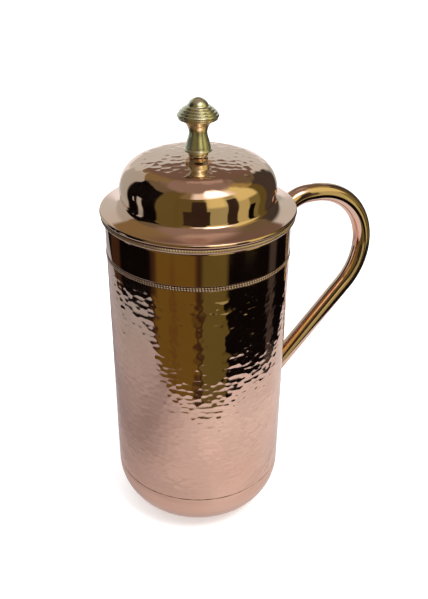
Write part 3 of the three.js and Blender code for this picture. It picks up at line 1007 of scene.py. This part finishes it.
def room_bands(tree, turn):
    """Colours all round the room at three heights: the table, the walls and high up."""
    whole = arithmetic(tree, "ADD", arithmetic(tree, "DIVIDE", turn, 360), 0.5)
    table = around(tree, whole, [
        (-180, WHITE), (-152, PALE), (-146, DARK), (-134, BROWN), (-112, DARK), (-60, BROWN), (-53, GOLD),
        (-3, BROWN), (5, OLIVE), (36, DARK), (98, GREY), (111, DARK), (150, PALE), (160, WHITE),
    ], 2.5)
    wall = around(tree, whole, [
        (-180, WHITE), (-152, PALE), (-119, DARK), (-62, GOLD_WALL), (-34, OLIVE), (-28, GOLD_WALL),
        (12, CREAM), (58, CREAM_WARM), (76, GOLD_OLIVE), (96, OLIVE), (112, SHADE), (136, GREY),
        (150, PALE), (162, WHITE),
    ])
    high = around(tree, whole, [
        (-180, MAUVE), (-160, GOLD_BACK), (-128, TAUPE), (-64, GOLD_WALL), (-30, GOLD_BACK),
        (-10, SKY_BRIGHT), (66, GOLD_LIGHT), (92, GOLD_PALE), (112, TAUPE), (150, MAUVE),
    ], 5)
    return table, wall, high


def room():
    """A room for the metal to mirror: pale behind the jug, golden and dark in front of it."""
    world = bpy.data.worlds.new("room")
    bpy.context.scene.world = world
    tree = empty_tree(world)
    output = tree.nodes.new("ShaderNodeOutputWorld")
    background = tree.nodes.new("ShaderNodeBackground")
    tree.links.new(background.outputs["Background"], output.inputs["Surface"])
    x, y, z = split_vector(tree, turned_coordinates(tree, "Generated"))
    turns = {
        "front": in_degrees(tree, arithmetic(tree, "ARCTAN2", x, arithmetic(tree, "MULTIPLY", y, -1))),
        "behind": in_degrees(tree, arithmetic(tree, "ARCTAN2", x, y)),
    }
    rise = in_degrees(tree, arithmetic(tree, "ARCSINE", z))
    off_front = arithmetic(tree, "ABSOLUTE", turns["front"])
    table, wall, high = room_bands(tree, turns["front"])

    # Behind the jug the table's edge lies 2.2 degrees higher and the wall's top 16.5 lower.
    edge_rise = arithmetic(tree, "MULTIPLY", step(tree, off_front, 20, 150), 2.2)
    over_table = arithmetic(tree, "SUBTRACT", rise, edge_rise)
    top_drop = arithmetic(tree, "MULTIPLY", step(tree, off_front, 140, 178), 16.5)
    over_wall = arithmetic(tree, "ADD", rise, top_drop)
    seen = mix_colour(tree, step(tree, over_table, -25.4, -24.4), table, wall)
    seen = put_things(tree, seen, LOW_THINGS, turns, rise)
    seen = mix_colour(tree, step(tree, over_wall, 38, 41), seen, high)
    seen = mix_colour(tree, step(tree, rise, 56, 68), seen, MAUVE_HIGH)
    seen = put_things(tree, seen, HIGH_THINGS, turns, rise)
    path = tree.nodes.new("ShaderNodeLightPath")
    seen = mix_colour(tree, path.outputs["Is Glossy Ray"], DAYLIGHT, seen)
    feed(tree, seen, background.inputs["Color"])
    background.inputs["Strength"].default_value = 1.0


def softbox(name, azimuth, elevation, away, size, power):
    """A square soft light aimed at the jug. Azimuth is from the camera's side, to its right."""
    turn = CAMERA_TURN + math.radians(azimuth)
    rise = math.radians(elevation)
    level, up = math.cos(rise), math.sin(rise)
    place = Vector((math.sin(turn) * level, -math.cos(turn) * level, up)) * away
    light = bpy.data.lights.new(name, "AREA")
    light.shape = "SQUARE"
    light.size = size
    light.energy = power
    obj = bpy.data.objects.new(name, light)
    bpy.context.scene.collection.objects.link(obj)
    target = Vector((0, 0, 0.12))
    obj.location = target + place
    obj.rotation_mode = "QUATERNION"
    obj.rotation_quaternion = place.to_track_quat("Z", "Y")
    obj.visible_glossy = False


def camera():
    data = bpy.data.cameras.new("camera")
    obj = bpy.data.objects.new("camera", data)
    bpy.context.scene.collection.objects.link(obj)
    right, near = math.sin(CAMERA_TURN), math.cos(CAMERA_TURN)
    obj.location = (right * CAMERA_DISTANCE, -near * CAMERA_DISTANCE, CAMERA_HEIGHT)
    obj.rotation_euler = (math.pi / 2 - CAMERA_PITCH, 0, CAMERA_TURN)
    data.sensor_width = 36
    data.lens = CAMERA_LENS
    data.shift_x = CAMERA_SHIFT
    data.clip_start = 0.01
    data.clip_end = 50
    bpy.context.scene.camera = obj


# ------------------------------------------------------------------ put it together

camera()
hammered_wall()
spun_base()
mouth_sleeve()
milled_bead_ring()
mouth_ring()
handle_tube()
braze_fillet("upper_braze_fillet", "upper_braze", whole_handle_line(), BAND_R + 0.05 * MM)
braze_fillet("lower_braze_fillet", "lower_braze", whole_handle_line()[::-1], WALL_R - 0.1 * MM)
lid_shell()
lid_collar()
brass_knob()
small_ring("brass_spacer", "knob_spacer", 0.9 * MM)
small_ring("brass_washer", "knob_washer", 0.3 * MM)
steel_screw()
shadow_floor()
paper_sheet()
room()
softbox("key_softbox", azimuth=45, elevation=60, away=1.6, size=0.6, power=14)
bpy.context.scene.view_settings.view_transform = "Standard"
